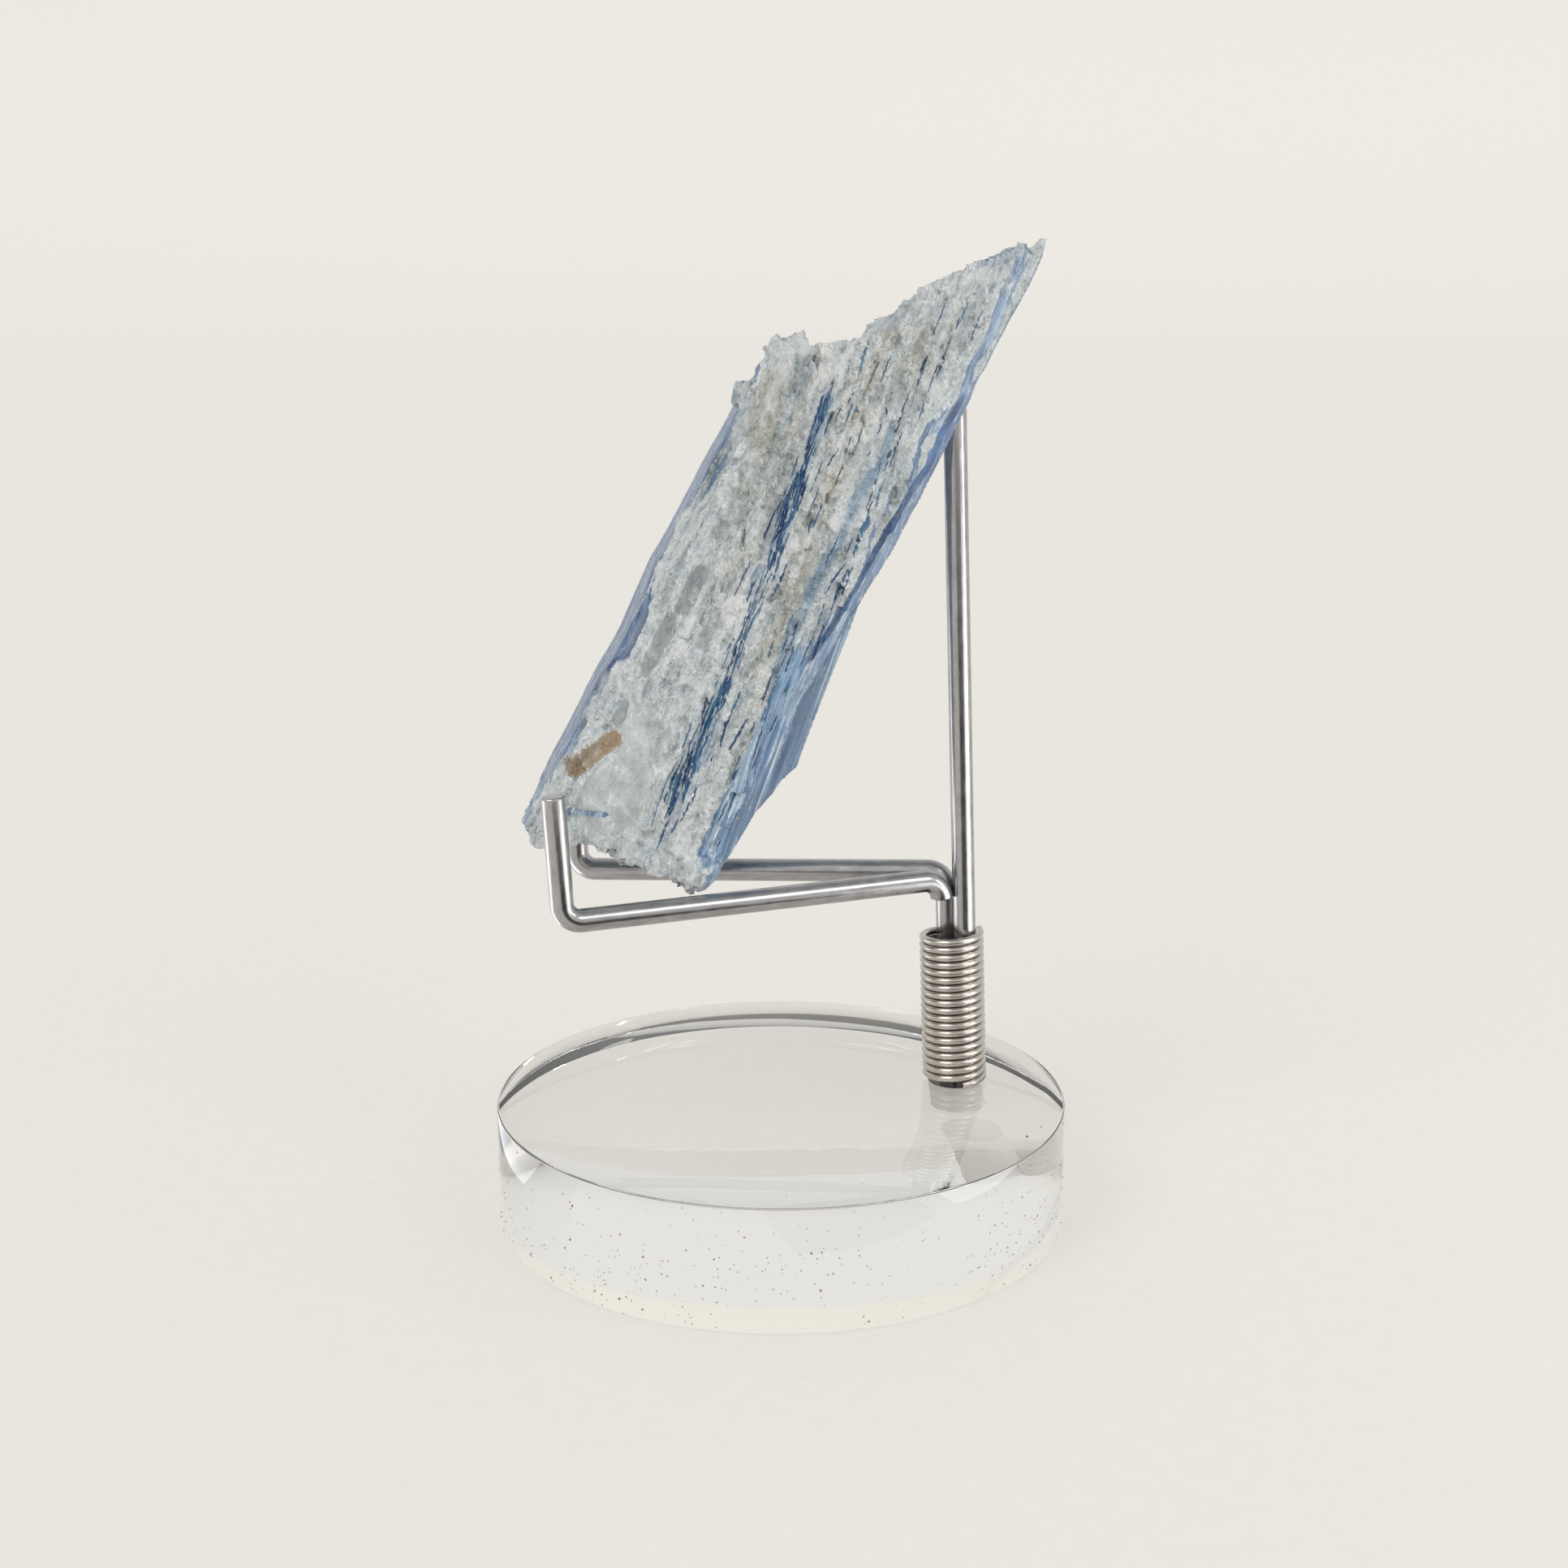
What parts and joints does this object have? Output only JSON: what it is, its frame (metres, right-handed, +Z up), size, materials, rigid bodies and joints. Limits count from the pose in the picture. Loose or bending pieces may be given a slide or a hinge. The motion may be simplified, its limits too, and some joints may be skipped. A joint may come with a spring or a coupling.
{
  "type": "kyanite blade cluster on display stand",
  "caption": "Slab of intergrown kyanite blades leaning on a bent steel wire easel that rises from a clear disc base.",
  "frame": {"origin": "centre of the base disc's underside", "axes": "+Z up, +Y from the disc's centre toward the wire collar and back post, hooks toward -Y"},
  "size_m": [0.07, 0.07, 0.1183],
  "materials": {
    "clear_acrylic": "clear polished acrylic, with dust and fine scuffs",
    "collar_steel": "bright drawn wire, close wound",
    "stand_steel": "satin drawn steel rod",
    "kyanite_stone": "glassy blue blades under a rough pale crust of quartz and mica"
  },
  "bodies": {
    "root": {"acrylic_base_disc": "clear_acrylic", "wound_wire_collar": "collar_steel", "near_arm_wire": "stand_steel", "far_arm_wire": "stand_steel", "back_post": "stand_steel", "kyanite_blade_specimen": "kyanite_stone"}
  },
  "joints": []
}
